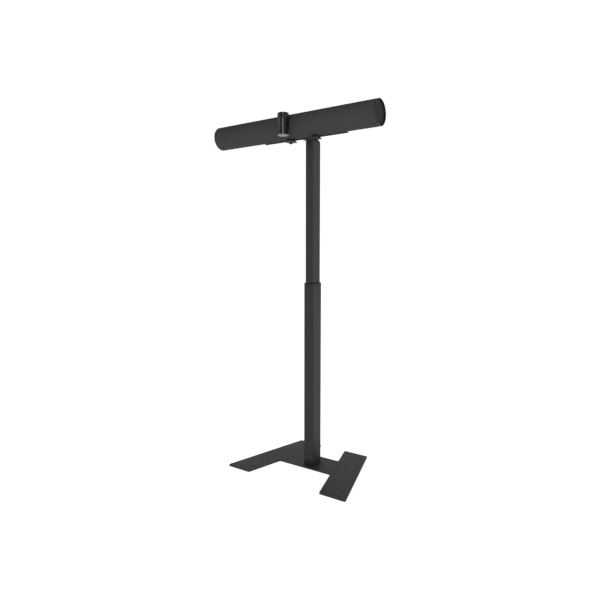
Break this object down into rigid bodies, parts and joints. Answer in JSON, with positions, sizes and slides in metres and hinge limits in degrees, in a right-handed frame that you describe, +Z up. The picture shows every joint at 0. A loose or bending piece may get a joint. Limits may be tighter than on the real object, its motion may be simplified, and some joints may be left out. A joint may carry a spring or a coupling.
{
  "type": "bar on telescopic floor stand",
  "caption": "Round fabric-covered bar with a small front post, held by a T-shaped head plate on a two-stage rectangular telescopic column and a flat floor plate with slanted arms.",
  "frame": {"origin": "on the floor, on the axis of the column", "axes": "+Z up along the column, +X along the bar, the bar's front faces -Y"},
  "size_m": [0.945, 0.5, 1.806],
  "materials": {
    "black_paint": "fine powder coat, satin black",
    "black_plastic": "moulded, matt black",
    "gloss_black": "polished black",
    "foot_plastic": "satin, light grey",
    "pad_rubber": "matt",
    "screw_steel": "bright zinc",
    "knob_steel": "black oxide, satin",
    "alloy": "mill finish",
    "basket_steel": "satin black",
    "cone_paper": "pressed paper cone",
    "magnet_iron": "sintered ferrite",
    "insert_brass": "turned",
    "bar_fabric": "fine plain weave, charcoal",
    "baffle_board": "dense fibreboard",
    "circuit_board": "solder mask",
    "component_plastic": "moulded",
    "lens_glass": "dark lens"
  },
  "bodies": {
    "stand": {"base_plate": "black_paint", "floor_pads": "pad_rubber", "foot_strip": "black_plastic", "column_foot": "screw_steel", "base_screws": "screw_steel", "lower_tube": "black_paint", "glide_collar": "black_plastic", "glide_screws": "black_plastic", "spring_rod": "screw_steel"},
    "mast": {"upper_tube": "black_paint", "head_plate": "black_paint", "clamp_lug_left": "black_paint", "clamp_lug_right": "black_paint", "slide_shoe": "black_plastic", "column_cap": "black_plastic", "tail_cover": "black_plastic", "end_disc_left": "black_plastic", "end_disc_right": "black_plastic", "power_inlet": "black_plastic", "post_neck": "black_plastic", "end_rim_left": "gloss_black", "end_rim_right": "gloss_black", "post_body": "gloss_black", "post_head": "gloss_black", "post_foot": "foot_plastic", "head_screws": "screw_steel", "neck_screws": "screw_steel", "lug_spacers": "knob_steel", "spring_cylinder": "alloy", "bar_shell": "alloy", "chassis_spine": "alloy", "electronics_tray": "alloy", "speaker_frame_1": "basket_steel", "speaker_frame_2": "basket_steel", "speaker_frame_3": "basket_steel", "speaker_frame_4": "basket_steel", "speaker_cone_1": "cone_paper", "speaker_cone_2": "cone_paper", "speaker_cone_3": "cone_paper", "speaker_cone_4": "cone_paper", "speaker_magnet_1": "magnet_iron", "speaker_magnet_2": "magnet_iron", "speaker_magnet_3": "magnet_iron", "speaker_magnet_4": "magnet_iron", "thread_inserts": "insert_brass", "board_standoffs": "insert_brass", "fabric_sleeve": "bar_fabric", "baffle": "baffle_board", "main_board": "circuit_board", "power_board": "circuit_board", "sensor_board": "circuit_board", "board_parts": "component_plastic", "port_lenses": "lens_glass"},
    "screw_left": {"thumbscrew_left": "knob_steel"},
    "screw_right": {"thumbscrew_right": "knob_steel"}
  },
  "joints": [
    {"name": "column_lift", "type": "slide", "parent": "stand", "child": "mast", "axis": [0, 0, 1], "range_m": [-0.64, 0.05]},
    {"name": "left_screw_turn", "type": "hinge", "parent": "mast", "child": "screw_left", "pos_m": [-0.072, -0.092, 1.668], "axis": [0, 0, 1], "continuous": true},
    {"name": "right_screw_turn", "type": "hinge", "parent": "mast", "child": "screw_right", "pos_m": [0.072, -0.092, 1.668], "axis": [0, 0, 1], "continuous": true}
  ]
}
